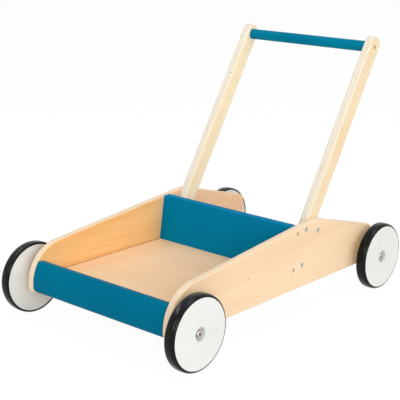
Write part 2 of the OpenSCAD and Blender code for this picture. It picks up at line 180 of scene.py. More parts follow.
def select_only(piece):
    """Makes a piece the selected and active one."""
    deselect()
    bpy.context.view_layer.objects.active = piece
    piece.select_set(True)


def use_modifier(piece, kind, **settings):
    """Adds a modifier, sets it and applies it."""
    select_only(piece)
    modifier = piece.modifiers.new(kind.title(), kind)
    for key, value in settings.items():
        setattr(modifier, key, value)
    bpy.ops.object.modifier_apply(modifier=modifier.name)


def round_edges(piece, width, segments, limit=40):
    """Rounds each edge that turns by more than a limit in degrees."""
    use_modifier(piece, "BEVEL", width=width * MM, segments=segments, limit_method="ANGLE",
                 angle_limit=math.radians(limit), use_clamp_overlap=True)


def combine(piece, other, operation="DIFFERENCE"):
    """Takes the other shape out of a piece, or joins it on, and removes the other."""
    use_modifier(piece, "BOOLEAN", object=other, operation=operation, solver="EXACT")
    bpy.data.objects.remove(other)


def drill(piece, x0, x1, y, z, r0, r1=None, sides=48):
    """Drills along x from x0 to x1, with radius r0 at x0 and r1 at x1."""
    deselect()
    bpy.ops.mesh.primitive_cone_add(
        vertices=sides, radius1=r0 * MM, radius2=(r0 if r1 is None else r1) * MM, depth=abs(x1 - x0) * MM,
        location=Vector(((x0 + x1) / 2, y, z)) * MM,
        rotation=(0, math.copysign(math.pi / 2, x1 - x0), 0))
    combine(piece, bpy.context.object)


def block(name, low, high):
    """A box between two corners in mm."""
    deselect()
    low, high = Vector(low), Vector(high)
    bpy.ops.mesh.primitive_cube_add(size=1, location=(low + high) / 2 * MM)
    made = bpy.context.object
    made.name = made.data.name = name
    bpy.ops.transform.resize(value=(high - low) * MM)
    bpy.ops.object.transform_apply(location=True, rotation=True, scale=True)
    return made


print("cutters reach", BEYOND, "mm out of the wood")

# %% [markdown]
# ## Copying and handing over
# The left side of the walker is the right side mirrored, and its four corners are alike. A Mirror modifier
# could show both sides at once, but each side is a node of its own, so a shape is modelled once and copied
# with its own mesh. A mirrored mesh is inside out, so its normals are worked out again. A finished piece
# gets its place in its mesh, smooth shading and its finish, and then rides on a body in place of its CAD
# node.

# %% Helpers that finish
SMOOTH_BELOW = math.radians(32)
FACE_WEIGHT = 80


def copy_piece(piece, name, move=(0, 0, 0), mirror=False):
    """A copy with its own mesh, moved in mm or mirrored to the other side of the walker."""
    select_only(piece)
    bpy.ops.object.duplicate(linked=False)
    twin = bpy.context.object
    twin.name = twin.data.name = name
    bpy.ops.object.mode_set(mode="EDIT")
    bpy.ops.mesh.select_all(action="SELECT")
    bpy.ops.transform.translate(value=Vector(move) * MM)
    if mirror:
        bpy.ops.transform.resize(value=(-1, 1, 1), center_override=(0, 0, 0))
        bpy.ops.mesh.normals_make_consistent(inside=False)
    bpy.ops.object.mode_set(mode="OBJECT")
    return twin


def settle(piece, body, material, node):
    """Applies the place, smooths the shading and puts the piece on its body in place of its CAD node."""
    select_only(piece)
    bpy.ops.object.transform_apply(location=True, rotation=True, scale=True)
    bpy.ops.object.shade_smooth_by_angle(angle=SMOOTH_BELOW)
    use_modifier(piece, "WEIGHTED_NORMAL", keep_sharp=True, weight=FACE_WEIGHT)
    piece.data.materials.clear()
    piece.data.materials.append(material)
    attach(piece, body)
    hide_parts(node)


def both_sides(piece, name, node, material):
    """Copies a piece of the right side to the left and settles both on the chassis."""
    twin = copy_piece(piece, name.format("left"), mirror=True)
    settle(piece, "chassis", material, node.format("right"))
    settle(twin, "chassis", material, node.format("left"))


CORNERS = [
    ("front_right", FRONT_Y, False), ("front_left", FRONT_Y, True),
    ("rear_right", REAR_Y, False), ("rear_left", REAR_Y, True),
]


def at_each_corner(piece, name, node, material, body="wheel_{}"):
    """Copies a piece made at the front right corner to the other three and settles all four."""
    for corner, y, mirror in CORNERS[1:]:
        twin = copy_piece(piece, name.format(corner), (0, y - FRONT_Y, 0), mirror)
        settle(twin, body.format(corner), material, node.format(corner))
    first = CORNERS[0][0]
    settle(piece, body.format(first), material, node.format(first))


print("corners:", [corner[0] for corner in CORNERS])

# %% [markdown]
# ## Shader maths as Python
# A material is a small program over the surface, which could be drawn node by node in the editor. The class
# below wraps a socket instead, so that sums and products read as Python and each becomes a Math node. Every
# other node comes from one method, which takes the node's type, its settings and the values or links of its
# sockets.

# %% The shader class
MIX_FIRST, MIX_SECOND, MIX_COLOUR = 6, 7, 2  # places of the colour sockets on a Mix node


class Wire:
    """A socket of a node tree that can be used in sums and products."""

    def __init__(self, tree, socket=None):
        self.tree = tree
        self.socket = socket

    def node(self, kind, settings=None, inputs=None, out=0):
        """Adds a node, sets it, fills or links its inputs and gives one of its outputs."""
        made = self.tree.nodes.new("ShaderNode" + kind)
        for key, value in (settings or {}).items():
            setattr(made, key, value)
        for key, value in (inputs or {}).items():
            if isinstance(value, Wire):
                self.tree.links.new(value.socket, made.inputs[key])
            else:
                made.inputs[key].default_value = value
        return Wire(self.tree, made.outputs[out])

    def math(self, operation, other=0.0, swapped=False):
        """A Math node on this value and another one."""
        first, second = (other, self) if swapped else (self, other)
        return self.node("Math", {"operation": operation}, {0: first, 1: second})

    def __add__(self, other):
        return self.math("ADD", other)

    def __radd__(self, other):
        return self.math("ADD", other, swapped=True)

    def __sub__(self, other):
        return self.math("SUBTRACT", other)

    def __rsub__(self, other):
        return self.math("SUBTRACT", other, swapped=True)

    def __mul__(self, other):
        return self.math("MULTIPLY", other)

    def __rmul__(self, other):
        return self.math("MULTIPLY", other, swapped=True)

    def __truediv__(self, other):
        return self.math("DIVIDE", other)

    def __rtruediv__(self, other):
        return self.math("DIVIDE", other, swapped=True)

    def size(self):
        """The value without its sign."""
        return self.math("ABSOLUTE")

    def step(self, low, high):
        """0 below low, 1 above high, smooth between."""
        return self.node("MapRange", {"interpolation_type": "SMOOTHSTEP"},
                         {"Value": self, "From Min": low, "From Max": high})

    def blend(self, a, b):
        """Colour a where this is 0, colour b where it is 1."""
        a, b = (colour if isinstance(colour, Wire) else (*colour, 1.0) for colour in (a, b))
        return self.node("Mix", {"data_type": "RGBA"}, {0: self, MIX_FIRST: a, MIX_SECOND: b}, MIX_COLOUR)

    def parts(self):
        """The x, y and z of a vector."""
        split = self.node("SeparateXYZ", None, {0: self}).socket.node
        return [Wire(self.tree, socket) for socket in split.outputs]

    def scaled(self, x, y, z):
        """A vector, scaled by a number for each axis."""
        return self.node("VectorMath", {"operation": "MULTIPLY"}, {0: self, 1: (x, y, z)})

    def noise(self, scale=1.0, detail=2.0, rough=0.5, warp=0.0):
        """Soft clouds round 0.5 in the space of a vector."""
        return self.node("TexNoise", None, {
            "Vector": self, "Scale": scale, "Detail": detail, "Roughness": rough, "Distortion": warp})

    def cells(self, scale=1.0):
        """Distance to the nearest of many scattered points in the space of a vector."""
        return self.node("TexVoronoi", None, {"Vector": self, "Scale": scale})


print("reflected operators:", [name for name in vars(Wire) if name.startswith("__r")])

# %% [markdown]
# ## A finish
# Every surface of the walker has a Principled shader. What is the same all over is set on the shader's own
# sockets. Patterns are drawn in Object coordinates, which are the walker's own, in metres, because every
# piece sits at the origin. A pattern could follow an unwrapped map instead, but then the grain would stop
# at each seam.

# %% The finish class
class Finish:
    """A material with a Principled shader, and the walker's own coordinates in metres to draw patterns in."""

    def __init__(self, name, **constants):
        self.material = bpy.data.materials.new(name)
        self.material.use_nodes = True
        self.tree = self.material.node_tree
        self.shader = self.tree.nodes["Principled BSDF"]
        for key, value in constants.items():
            self.shader.inputs[key.replace("_", " ")].default_value = value
        self.place = Wire(self.tree).node("TexCoord", out="Object")
        self.x, self.y, self.z = self.place.parts()

    def link(self, name, value):
        """Feeds a socket of the shader with a value that changes over the surface."""
        self.tree.links.new(value.socket, self.shader.inputs[name])

    def bump(self, height, strength, distance):
        """Lets the surface look raised by a height, of which 1 is a distance in mm."""
        inputs = {"Height": height, "Strength": strength, "Distance": distance * MM}
        self.link("Normal", height.node("Bump", None, inputs))


print("a finish feeds Base Color, Roughness and Normal")

# %% [markdown]
# ## Sawn edges
# The panels, the base and the posts are cut from pale plywood. A sawn edge shows the plies as stripes,
# every second one darker, with fine glue lines between them. Stripes could be painted on the rim only, but
# here they depend on the depth in the board, so that a rounded rim cuts through the plies as on the real
# one.

# %% Sawn edges
LACQUER = {"Specular_IOR_Level": 0.22, "IOR": 1.48}
PLY_EDGES = ((0.93, 0.77, 0.57), (0.80, 0.59, 0.40))


def sawn_edge(share, plies, fibre, glue_width, weights):
    """How dark a sawn edge is, by its plies, fibres and glue lines, and the glue lines alone."""
    ply = share * plies
    second_ply = (ply / 2).math("FRACT").step(0.49, 0.51)
    to_glue = 0.5 - (ply.math("FRACT") - 0.5).size()
    glue = 1 - to_glue.step(0.03, glue_width)
    return second_ply * weights[0] + fibre * weights[1] + glue * weights[2], glue


def below_face(share, plies, start, end):
    """0 in the face veneer and 1 below it. start and end are counted in plies."""
    return (0.5 - (share - 0.5).size()).step(start / plies, end / plies)


print("tones of a sawn edge:", *PLY_EDGES)

# %% [markdown]
# ## Veneer
# Each face of the plywood is a sheet of veneer under a clear satin lacquer, with long soft streaks, faint
# growth lines and tiny dark flecks. A picture of wood could be laid on it, but noise that is stretched
# along the grain never repeats. The panels' inner faces are painted more orange in front of the back board,
# as painted warm bounce light from the wood of the tray, and paler and pinker behind it.
# The right panel has one small knot.

# %% Veneer
KNOT_BROWN, JOINT_BROWN = (0.20, 0.10, 0.05), (0.36, 0.16, 0.06)


def pin_knot(finish, face, place, dark):
    """Puts a small brown knot with a soft halo into the right panel, at (y, z) in mm."""
    y, z = finish.y - place[0] * MM, finish.z - place[1] * MM
    away = ((y * y) / 4 + z * z).math("SQRT")
    right_side = finish.x.step(0.0, 0.01)
    halo = (1 - away.step(0.8 * MM, 5.0 * MM)) * right_side
    spot = (1 - away.step(0.35 * MM, 1.1 * MM)) * right_side
    return (spot * 0.85).blend((halo * 0.35).blend(face, dark), KNOT_BROWN)


def plywood(name, axes, faces, plies, light, dark, inner=None, knot=None, joint=None, contrast=1.0):
    """Plywood for a flat board.

    axes names the directions along the grain, across it and through the board, and faces gives the places
    of both faces in mm. inner holds the tones of the inner face, with painted warm bounce light before the
    back board and paler tones behind it. joint is the distance from the middle to the dark joint with the
    panels.
    """
    finish = Finish(name, **LACQUER)
    grain, across, through = axes
    axis = {"x": finish.x, "y": finish.y, "z": finish.z}
    depth = axis[through].size() if through == "x" else axis[through]
    share = (depth - faces[0] * MM) / ((faces[1] - faces[0]) * MM)

    def along(slow, fast):
        """Coordinates that change slowly along the grain and fast across it."""
        scale = {grain: slow, across: fast, through: fast * 0.4}
        return finish.place.scaled(scale["x"], scale["y"], scale["z"])

    tone = along(2.0, 22).noise(detail=3, warp=0.5).step(0.30, 0.72)
    streak = along(7, 330).noise(detail=4, rough=0.62) - 0.5
    waver = (along(3.0, 9).noise(detail=2) - 0.5) * 0.11
    growth = (((axis[across] + waver) * 430).math("SINE") * 0.5 + 0.5).step(0.45, 1.0)
    fleck = 1 - along(120, 1300).cells().step(0.05, 0.24)
    figure = (tone * 0.46 + streak * 0.9 + growth * 0.10 + fleck * 0.24) * contrast
    face = figure.blend(light, dark)
    if inner:
        # the inner faces: painted warm bounce light before the back board, paler tones behind it
        before, behind = ((figure * 1.3).blend(*tones) for tones in inner)
        face = share.step(0.40, 0.60).blend(finish.y.step(-0.01, 0.06).blend(before, behind), face)
    if knot:
        face = pin_knot(finish, face, knot, dark)
    if joint:
        line = finish.x.size().step((joint - 2.4) * MM, (joint - 1.6) * MM)
        face = (line * 0.85).blend(face, JOINT_BROWN)
    fibre = along(30, 900).noise(detail=2) - 0.5
    stripes, glue = sawn_edge(share, plies, fibre, 0.10, (0.6, 0.8, 0.35))
    inside = below_face(share, plies, 0.45, 0.75)
    finish.link("Base Color", inside.blend(face, stripes.blend(*PLY_EDGES)))
    finish.link("Roughness", 0.42 + streak * 0.16 + inside * 0.12 + fleck * 0.05)
    finish.bump(streak * 0.6 - fleck * 0.5 - glue * inside * 0.6, 0.25, 0.12)
    return finish.material


panel_ply = plywood(
    "panel_plywood", "yzx", (PANEL_IN, PANEL_OUT), 9, (0.93, 0.706, 0.465), (0.85, 0.575, 0.34),
    # inner: orange tones of painted bounce light before the back board, paler tones behind it
    inner=(((0.97, 0.605, 0.262), (0.88, 0.445, 0.15)), ((0.945, 0.64, 0.395), (0.92, 0.50, 0.275))),
    knot=(-91.2, 93.5))
base_ply = plywood(
    "base_plywood", "xyz", (BASE_LOW, BASE_TOP), 5, (0.97, 0.692, 0.432), (0.86, 0.556, 0.309),
    joint=FLOOR_HALF, contrast=0.95)
print("plywood finishes:", panel_ply.name, base_ply.name)

# %% [markdown]
# ## Side panels
# A side panel carries everything else. Its outline has a round nose, a rising top, a blunt peak and a
# falling tail. It could be bent from a subdivided cube, but a traced outline keeps its long edges straight.
# The outline is pulled to 12 mm and rounded along the rim. Then the panel is drilled for the axle inserts,
# the handle bolts with their seats and the countersunk screws, and grooved for the base.

# %% Side panels
FOOT_BOLT, LOCK, SPARE = (45.370, 82.688), (85.800, 132.5), (53.513, 140.585)
BACK_SCREWS = [(23.431, 78.903), (31.671, 137.535)]
INSERT_HOLE, BOLT_HOLE, NUT_HOLE, SCREW_HOLE = 5.05, 3.05, 4.35, 2.05
NUT_DEEP = 8.15
SEAT_R, SEAT_DEEP = 4.55, 1.4
SINK_R, SINK_DEEP, SINK_OVER = 3.8, 2.3, 0.05
BASE_FRONT, BASE_REAR = -254.953, 30.118
GROOVE_DEEP, END_ROOM, FACE_ROOM = 4.0, 0.3, 0.1


def groove(piece, x0, x1, y0, y1):
    """Cuts the groove that holds the tongue of the base, with a little room above and below."""
    combine(piece, block("groove_cutter", (x0, y0, BASE_LOW - FACE_ROOM), (x1, y1, TONGUE_TOP + FACE_ROOM)))


side_panel = trace_board("side_panel_right_wood", PANEL_RING, PANEL_IN, PANEL_OUT)
round_edges(side_panel, 2.6, 5)
for axle in (FRONT_Y, REAR_Y):
    drill(side_panel, PANEL_IN - BEYOND, PANEL_OUT + BEYOND, axle, AXLE_Z, INSERT_HOLE)
for place in (FOOT_BOLT, LOCK, SPARE):
    drill(side_panel, PANEL_IN - BEYOND, PANEL_OUT + BEYOND, *place, BOLT_HOLE)
    drill(side_panel, PANEL_OUT - SEAT_DEEP, PANEL_OUT + BEYOND, *place, SEAT_R)
drill(side_panel, PANEL_IN - BEYOND, PANEL_IN + NUT_DEEP, *SPARE, NUT_HOLE)
for place in BACK_SCREWS:
    drill(side_panel, PANEL_IN - BEYOND, PANEL_OUT, *place, SCREW_HOLE)
    drill(side_panel, PANEL_OUT - SINK_DEEP, PANEL_OUT + SINK_OVER, *place, SCREW_HOLE, SINK_R)
groove(side_panel, PANEL_IN - BEYOND, PANEL_IN + GROOVE_DEEP, BASE_FRONT - END_ROOM, BASE_REAR + END_ROOM)
both_sides(side_panel, "side_panel_{}_wood", "side_panel_{}", panel_ply)
print("side panel faces:", len(side_panel.data.polygons))

# %% [markdown]
# ## Base board
# The base is a sheet of plywood with a thinner tongue all round, which lies in grooves in the panels and
# the front board and carries the back board. A cube could be inset for that, but the tongue isn't equally
# wide on each side, so two boxes are joined with a Boolean modifier. The small gap between the floor and
# the panels shows as a thin dark line beside the floor of the tray.

# %% Base board
TONGUE_HALF, FLOOR_FRONT, FLOOR_REAR = 141.7, -248.478, 17.8
OVERLAP = 2.0
base = block("base_board_wood", (-TONGUE_HALF, BASE_FRONT, BASE_LOW), (TONGUE_HALF, BASE_REAR, TONGUE_TOP))
tray_floor = block("tray_floor", (-FLOOR_HALF, FLOOR_FRONT, TONGUE_TOP - OVERLAP),
                   (FLOOR_HALF, FLOOR_REAR, BASE_TOP))
combine(base, tray_floor, "UNION")
round_edges(base, 0.3, 2)
settle(base, "chassis", base_ply, "base_board")
print("base board:", [round(d / MM, 1) for d in base.dimensions])

# %% [markdown]
# ## Paint
# The front board, the back board and the grip bar are painted teal, and the wheels white. The back board
# gets a brighter, bluer teal than the front board, which is painted light against the shade in the tray.
# One flat colour would look like plastic. Satin paint on wood is livelier: the grain below lifts it in fine
# lines, the sprayed coat varies a little in tone, and the gloss is uneven.

# %% Paint
BOARD_GRAIN, WHEEL_GRAIN = (4, 260, 260), (40, 40, 40)


def paint(name, colour, deep, lift, rough, specular, grain=BOARD_GRAIN):
    """Satin paint over wood. grain says how fast the lines of the wood change along x, y and z."""
    finish = Finish(name, Specular_IOR_Level=specular, IOR=1.5)
    cloud = finish.place.noise(scale=14, detail=3)
    line = finish.place.scaled(*grain).noise(detail=3, rough=0.6)
    speck = finish.place.noise(scale=1400, detail=1)
    coat = cloud.step(0.3, 0.7).blend(colour, deep)
    finish.link("Base Color", (line.step(0.55, 0.85) * 0.35).blend(coat, lift))
    finish.link("Roughness", rough + (cloud - 0.5) * 0.12 + (line - 0.5) * 0.14)
    finish.bump(line * 0.7 + speck * 0.3, 0.18, 0.1)
    return finish.material


front_paint = paint(
    "teal_front_paint", (0.0, 0.168, 0.282), (0.0, 0.149, 0.263), (0.0, 0.201, 0.289), 0.46, 0.015)
# the back board's teal is brighter and bluer than the front's: painted light against its shade
back_paint_lit_for_shade = paint(
    "teal_back_paint", (0.0, 0.211, 0.402), (0.0, 0.192, 0.378), (0.0, 0.245, 0.402), 0.46, 0.015)
bar_paint = paint(
    "teal_bar_paint", (0.0, 0.215, 0.343), (0.0, 0.188, 0.316), (0.0, 0.251, 0.348), 0.40, 0.02)
white_paint = paint(
    "white_wheel_paint", (0.81, 0.82, 0.785), (0.775, 0.785, 0.755), (0.83, 0.83, 0.80), 0.42, 0.2,
    WHEEL_GRAIN)
print("paints:", front_paint.name, back_paint_lit_for_shade.name, bar_paint.name, white_paint.name)

# %% [markdown]
# ## Front and back boards
# The front board bulges in line with the noses of the panels: its front is one long arc, tangent to a
# rounded top and a rounder bottom edge. The back board leans back by 8 degrees and its top is planed flush
# with the panels. A cube could be bent for the one and turned for the other, but both are simply traced
# like the panels, across the width of the tray. The front board is grooved at its back for the base.

# %% Front and back boards
FRONT_RING = [
    (-258.881, 56.0, 10.0), (-256.056, 47.5, 1.5), (-246.438, 92.750, 1.5), (-254.934, 92.0, 4.0),
    (-207.5, 59.5, 61.5),
]
BACK_RING = [(19.726, 70.5, 1.5), (28.814, 70.5, 1.5), (39.575, 147.069, 1.5), (30.346, 146.072, 1.5)]
GROOVE_MOUTH = -240.0

front = trace_board("front_board_painted", FRONT_RING, -PANEL_IN, PANEL_IN)
round_edges(front, 0.5, 2)
groove(front, -PANEL_IN - BEYOND, PANEL_IN + BEYOND, BASE_FRONT - END_ROOM, GROOVE_MOUTH)
settle(front, "chassis", front_paint, "front_board")
back = trace_board("back_board_painted", BACK_RING, -PANEL_IN, PANEL_IN)
round_edges(back, 0.5, 2)
settle(back, "chassis", back_paint_lit_for_shade, "back_board")
for board in (front, back):
    print(board.name, [round(d / MM, 1) for d in board.dimensions])

# %% [markdown]
# ## Post plywood
# Each handle post is a strip of plywood that leans back by 31 degrees. Its narrow front face is the sawn
# edge, so the plies run up it as fine pale stripes, with a small gap in a ply here and there. Its wide side
# shows veneer with the grain along the post. The pattern has to lean too. The coordinates could be mixed by
# hand, but a Mapping node turns them in one step.

# %% Post plywood
POST_LEAN, POST_PLIES, POST_IN = math.radians(31), 7, 123.0
POST_FOOT = (47.513, 81.4)
POST_EDGES = ((0.95, 0.88, 0.735), (0.71, 0.625, 0.49))
GAP_WIDE, GAP_LONG, GAP_BROWN = 0.75, 2.6, (0.13, 0.08, 0.05)


def post_plywood(name, left, right, gaps):
    """Plywood whose grain leans with the posts.

    left and right are each post's light and dark tone; the left post's are lighter than the right's, as
    painted light that evens out how the two posts are lit. gaps lists small gaps in the sawn edge, as the
    place along x and the distance from the post's foot.
    """
    finish = Finish(name, **LACQUER)
    turned = {"Vector": finish.place, "Rotation": (POST_LEAN, 0, 0)}
    leaned = finish.place.node("Mapping", {"vector_type": "POINT"}, turned)
    share = (finish.x.size() - POST_IN * MM) / ((PANEL_IN - POST_IN) * MM)

    def along(slow, fast):
        """Coordinates that change slowly along the post and fast across it."""
        return leaned.scaled(fast * 0.4, fast, slow)

    tone = along(9, 40).noise(detail=3, warp=0.3).step(0.30, 0.72)
    streak = along(9, 430).noise(detail=3, rough=0.6) - 0.5
    fleck = 1 - along(150, 1500).cells().step(0.05, 0.24)
    figure = tone * 0.5 + streak * 0.85 + fleck * 0.22
    # painted light: the left post (x < 0) gets lighter tones than the right one
    face = finish.x.step(-0.01, 0.01).blend(figure.blend(*left), figure.blend(*right))
    fibre = along(26, 900).noise(detail=2) - 0.5
    stripes, glue = sawn_edge(share, POST_PLIES, fibre, 0.12, (0.55, 0.9, 0.45))
    foot = POST_FOOT[0] * math.sin(POST_LEAN) + POST_FOOT[1] * math.cos(POST_LEAN)
    height = leaned.parts()[2]
    gap = 0.0
    for x, up in gaps:
        aside = (finish.x - x * MM) / (GAP_WIDE * MM)
        above = (height - (foot + up) * MM) / (GAP_LONG * MM)
        gap = gap + (1 - (aside * aside + above * above).step(0.4, 1.0))
    edge = (gap * 0.8).blend(stripes.blend(*POST_EDGES), GAP_BROWN)
    inside = below_face(share, POST_PLIES, 0.35, 0.55)
    finish.link("Base Color", inside.blend(face, edge))
    finish.link("Roughness", 0.42 + streak * 0.16 + inside * 0.12)
    finish.bump(streak * 0.6 - fleck * 0.5 - (glue * 0.6 + gap) * inside, 0.25, 0.12)
    return finish.material


post_ply = post_plywood(
    # left tones lighter than right ones: painted light that evens out the two posts
    "post_plywood", ((0.995, 0.86, 0.605), (0.97, 0.735, 0.46)), ((0.89, 0.735, 0.495), (0.85, 0.61, 0.365)),
    [(-128.0, 302.4), (128.7, 160.8)])
print("post finish:", post_ply.name)

# %% [markdown]
# ## Handle posts
# A post has round ends and sanded edges, so its outline is a string round just two circles of one size. It
# could be a stretched cube with a wide bevel, but the traced ends are true half circles. Each post has a
# shallow socket for the bar, a sunk hole for the bar's screw and two holes for the inserts of the handle
# bolts.

# %% Handle posts
POST_R, POST_TOP = 14.0, (249.408, 417.410)
BAR, BAR_R = (247.348, 413.981), 9.0
BAR_SOCKET, BAR_ROOM = 4.05, 0.05
BAR_SEAT = PANEL_IN - 5.0
INSERT_DEEP = 11.3

post = trace_board("handle_post_right_wood", [(*POST_FOOT, POST_R), (*POST_TOP, POST_R)], POST_IN, PANEL_IN)
round_edges(post, 3.0, 5)
drill(post, POST_IN - BEYOND, POST_IN + BAR_SOCKET, *BAR, BAR_R + BAR_ROOM, sides=64)
drill(post, POST_IN, PANEL_IN + BEYOND, *BAR, SCREW_HOLE)
drill(post, BAR_SEAT, PANEL_IN + BEYOND, *BAR, SINK_R)
for place in (FOOT_BOLT, LOCK):
    drill(post, PANEL_IN - INSERT_DEEP, PANEL_IN + BEYOND, *place, NUT_HOLE)
both_sides(post, "handle_post_{}_wood", "handle_post_{}", post_ply)
print("post faces:", len(post.data.polygons))

# %% [markdown]
# ## Grip bar
# The bar is a round dowel between the posts. A cylinder is already close, but its ends have to be rounded
# and drilled for the screws, so it gets a bevel and two pilot holes before it is settled.

# %% Grip bar
BAR_LONG = 254.0
PILOT_FROM, PILOT_TO = 1.01, 0.68  # shares of the way from the bar's middle to its end

deselect()
bpy.ops.mesh.primitive_cylinder_add(vertices=72, radius=BAR_R * MM, depth=BAR_LONG * MM,
                                    location=Vector((0, *BAR)) * MM, rotation=(0, math.pi / 2, 0))
bar = bpy.context.object
bar.name = bar.data.name = "grip_bar_painted"
bpy.ops.object.transform_apply(location=True, rotation=True, scale=True)
round_edges(bar, 0.8, 3, limit=60)
for end in (BAR_LONG / 2, -BAR_LONG / 2):
    drill(bar, end * PILOT_FROM, end * PILOT_TO, *BAR, SCREW_HOLE, sides=24)
settle(bar, "chassis", bar_paint, "handle_bar")
print("bar:", [round(d / MM, 1) for d in bar.dimensions])

# %% [markdown]
# ## Turned pieces
# Wheels, tyres, spacers, washers and bolts are all turned. They could be stacked from cylinders, but then
# the joins would show. So a half-section is drawn point by point next to the axle and spun once round it.
# Points on the axle itself merge into one pole, and a section that doesn't touch the axle is closed before
# it is spun.

# %% The lathe
def lathe(name, centre, section, steps):
    """Spins a half-section of (along the axle, radius) points in mm round an axle through a centre."""
    points = [Vector((centre[0] + along, centre[1], centre[2] + radius)) for along, radius in section]
    if section[0][1] > 0:
        points.append(points[0])
    piece = lone_vertex(name, points[0])
    for here, there in zip(points, points[1:]):
        pull(there - here)
    merge_doubles()
    sweep(centre, math.tau, steps)
    close_mesh()
    return piece


def arc_points(along, radius, r, start, end, count):
    """Points of an arc in a half-section, by angle in degrees: 0 points along the axle, 90 away from it."""
    angles = [math.radians(start + (end - start) * k / count) for k in range(count + 1)]
    return [(along + r * math.cos(a), radius + r * math.sin(a)) for a in angles]


print("points of a quarter circle:", len(arc_points(0, 1, 1, 0, 90, 3)))

# %% [markdown]
# ## Wheel discs
# A wheel is a thick wooden disc, painted white, with a recess that hides the washer and the bolt. A
# cylinder could be inset for the recess, but on the lathe the disc, its recess and its bore are one
# section. Its edges have a small radius, and the rim has a rebate for the outer edge of the tyre, so that
# white paint and black rubber meet in one clean line.

# %% Wheel discs
HUB, WHEEL_W, DISC_R, BORE, BORE_EDGE = 17.0, 16.5, 54.5, 5.08, 0.5
REBATE, EDGE_ROUND = 1.0, 0.35
FACE_R = DISC_R - REBATE
RECESS_R, RECESS_DEEP, RECESS_ROUND = 10.5, 6.5, 0.8
disc_section = [
    (0, BORE + BORE_EDGE),
    *arc_points(EDGE_ROUND, DISC_R - EDGE_ROUND, EDGE_ROUND, 180, 90, 3),
    (WHEEL_W - REBATE, DISC_R),
    (WHEEL_W - REBATE, FACE_R),
    *arc_points(WHEEL_W - EDGE_ROUND, FACE_R - EDGE_ROUND, EDGE_ROUND, 90, 0, 3),
    *arc_points(WHEEL_W - RECESS_ROUND, RECESS_R + RECESS_ROUND, RECESS_ROUND, 0, -90, 4),
    (WHEEL_W - RECESS_DEEP, RECESS_R),
    (WHEEL_W - RECESS_DEEP, BORE),
    (BORE_EDGE, BORE),
]
wheel = lathe("wheel_disc_front_right_painted", (PANEL_OUT + HUB, FRONT_Y, AXLE_Z), disc_section, 128)
at_each_corner(wheel, "wheel_disc_{}_painted", "wheel_disc_{}", white_paint)
print("wheel faces:", len(wheel.data.polygons))

# %% [markdown]
# ## Tyres
# The tyre is a ring of black rubber, stretched over the rim. A torus would be too round for it, and a plain
# band too flat. Its outline is drawn as two rounded shoulders from the crown to the edges. The outer
# shoulder is the rounder one and ends in the rebate of the rim. The inner one is squarer and stands a
# little proud of the disc.

# %% Tyres
def rubber(name):
    """Black rubber: half gloss, with a fine moulded skin and a thin bloom."""
    finish = Finish(name, Specular_IOR_Level=0.17, IOR=1.5)
    bloom = finish.place.noise(scale=60, detail=4)
    skin = finish.place.noise(scale=1100, detail=2)
    dust = finish.place.cells(scale=700).step(0.0, 0.22)
    black = dust.blend((0.007, 0.0066, 0.0062), (0.002, 0.0019, 0.0018))
    finish.link("Base Color", bloom.step(0.35, 0.75).blend(black, (0.004, 0.0037, 0.0034)))
    finish.link("Roughness", 0.17 + (bloom - 0.5) * 0.2 + (skin - 0.5) * 0.08)
    finish.bump(skin, 0.2, 0.1)
    return finish.material


def shoulder(reach, edge_r, fullness, steps=14):
    """Half of the tyre's rounded outline, from its crown to its edge. More fullness makes it squarer."""
    angles = [math.radians(90 * k / steps) for k in range(steps + 1)]
    power = 2 / fullness
    return [(reach * math.sin(a) ** power, edge_r + (AXLE_Z - edge_r) * math.cos(a) ** power) for a in angles]


OUTER_FULLNESS, INNER_FULLNESS, PROUD = 2.3, 4.0, 0.8
TYRE_HALF = WHEEL_W / 2
outer_half = shoulder(TYRE_HALF, FACE_R, OUTER_FULLNESS)
inner_half = shoulder(-TYRE_HALF - PROUD, DISC_R, INNER_FULLNESS)
tyre_section = [
    *outer_half[::-1], *inner_half[1:], (TYRE_HALF - REBATE, DISC_R), (TYRE_HALF - REBATE, FACE_R),
]
tyre = lathe("tyre_front_right_rubber", (PANEL_OUT + HUB + TYRE_HALF, FRONT_Y, AXLE_Z), tyre_section, 144)
at_each_corner(tyre, "tyre_{}_rubber", "tyre_{}", rubber("tyre_rubber"))
print("tyre faces:", len(tyre.data.polygons))

# %% [markdown]
# ## Metal
# Bolts, washers, nuts and screws are zinc-plated steel: bright and slightly cloudy, with fine turning
# marks. The small screws have a yellowish plating, and the inserts and the bar's screws are brass. A plain
# metal shader would reflect like a mirror, so the roughness varies over the plating. The hexagon sockets
# are darkened with painted shade, because they are too small for the light to show their depth.

# %% Metal
# the sockets' colour is painted shade in their hollows
SOCKET_IN, SOCKET_OUT, PAINTED_SOCKET_SHADE = 1.8, 2.25, (0.03, 0.03, 0.028)


def metal(name, bright, dull, rough, sockets=(), socket_shade=0.0):
    """Plated metal. sockets gives the (y, z) of hexagon sockets in mm, which are darkened with painted shade.
    """
    finish = Finish(name, Metallic=1.0)
    cloud = finish.place.noise(scale=420, detail=3)
    turning = finish.place.scaled(9000, 700, 700).noise(detail=1)
    plate = cloud.step(0.3, 0.75).blend(bright, dull)
    for y, z in sockets:
        aside, above = finish.y.size() - abs(y) * MM, finish.z - z * MM
        # painted shade: each hexagon socket is darkened, as the light can't show its depth
        hollow = 1 - (aside * aside + above * above).step((SOCKET_IN * MM) ** 2, (SOCKET_OUT * MM) ** 2)
        plate = (hollow * socket_shade).blend(plate, PAINTED_SOCKET_SHADE)
    finish.link("Base Color", plate)
    finish.link("Roughness", rough + (cloud - 0.5) * 0.22 + (turning - 0.5) * 0.1)
    finish.bump(turning, 0.2, 0.03)
    return finish.material


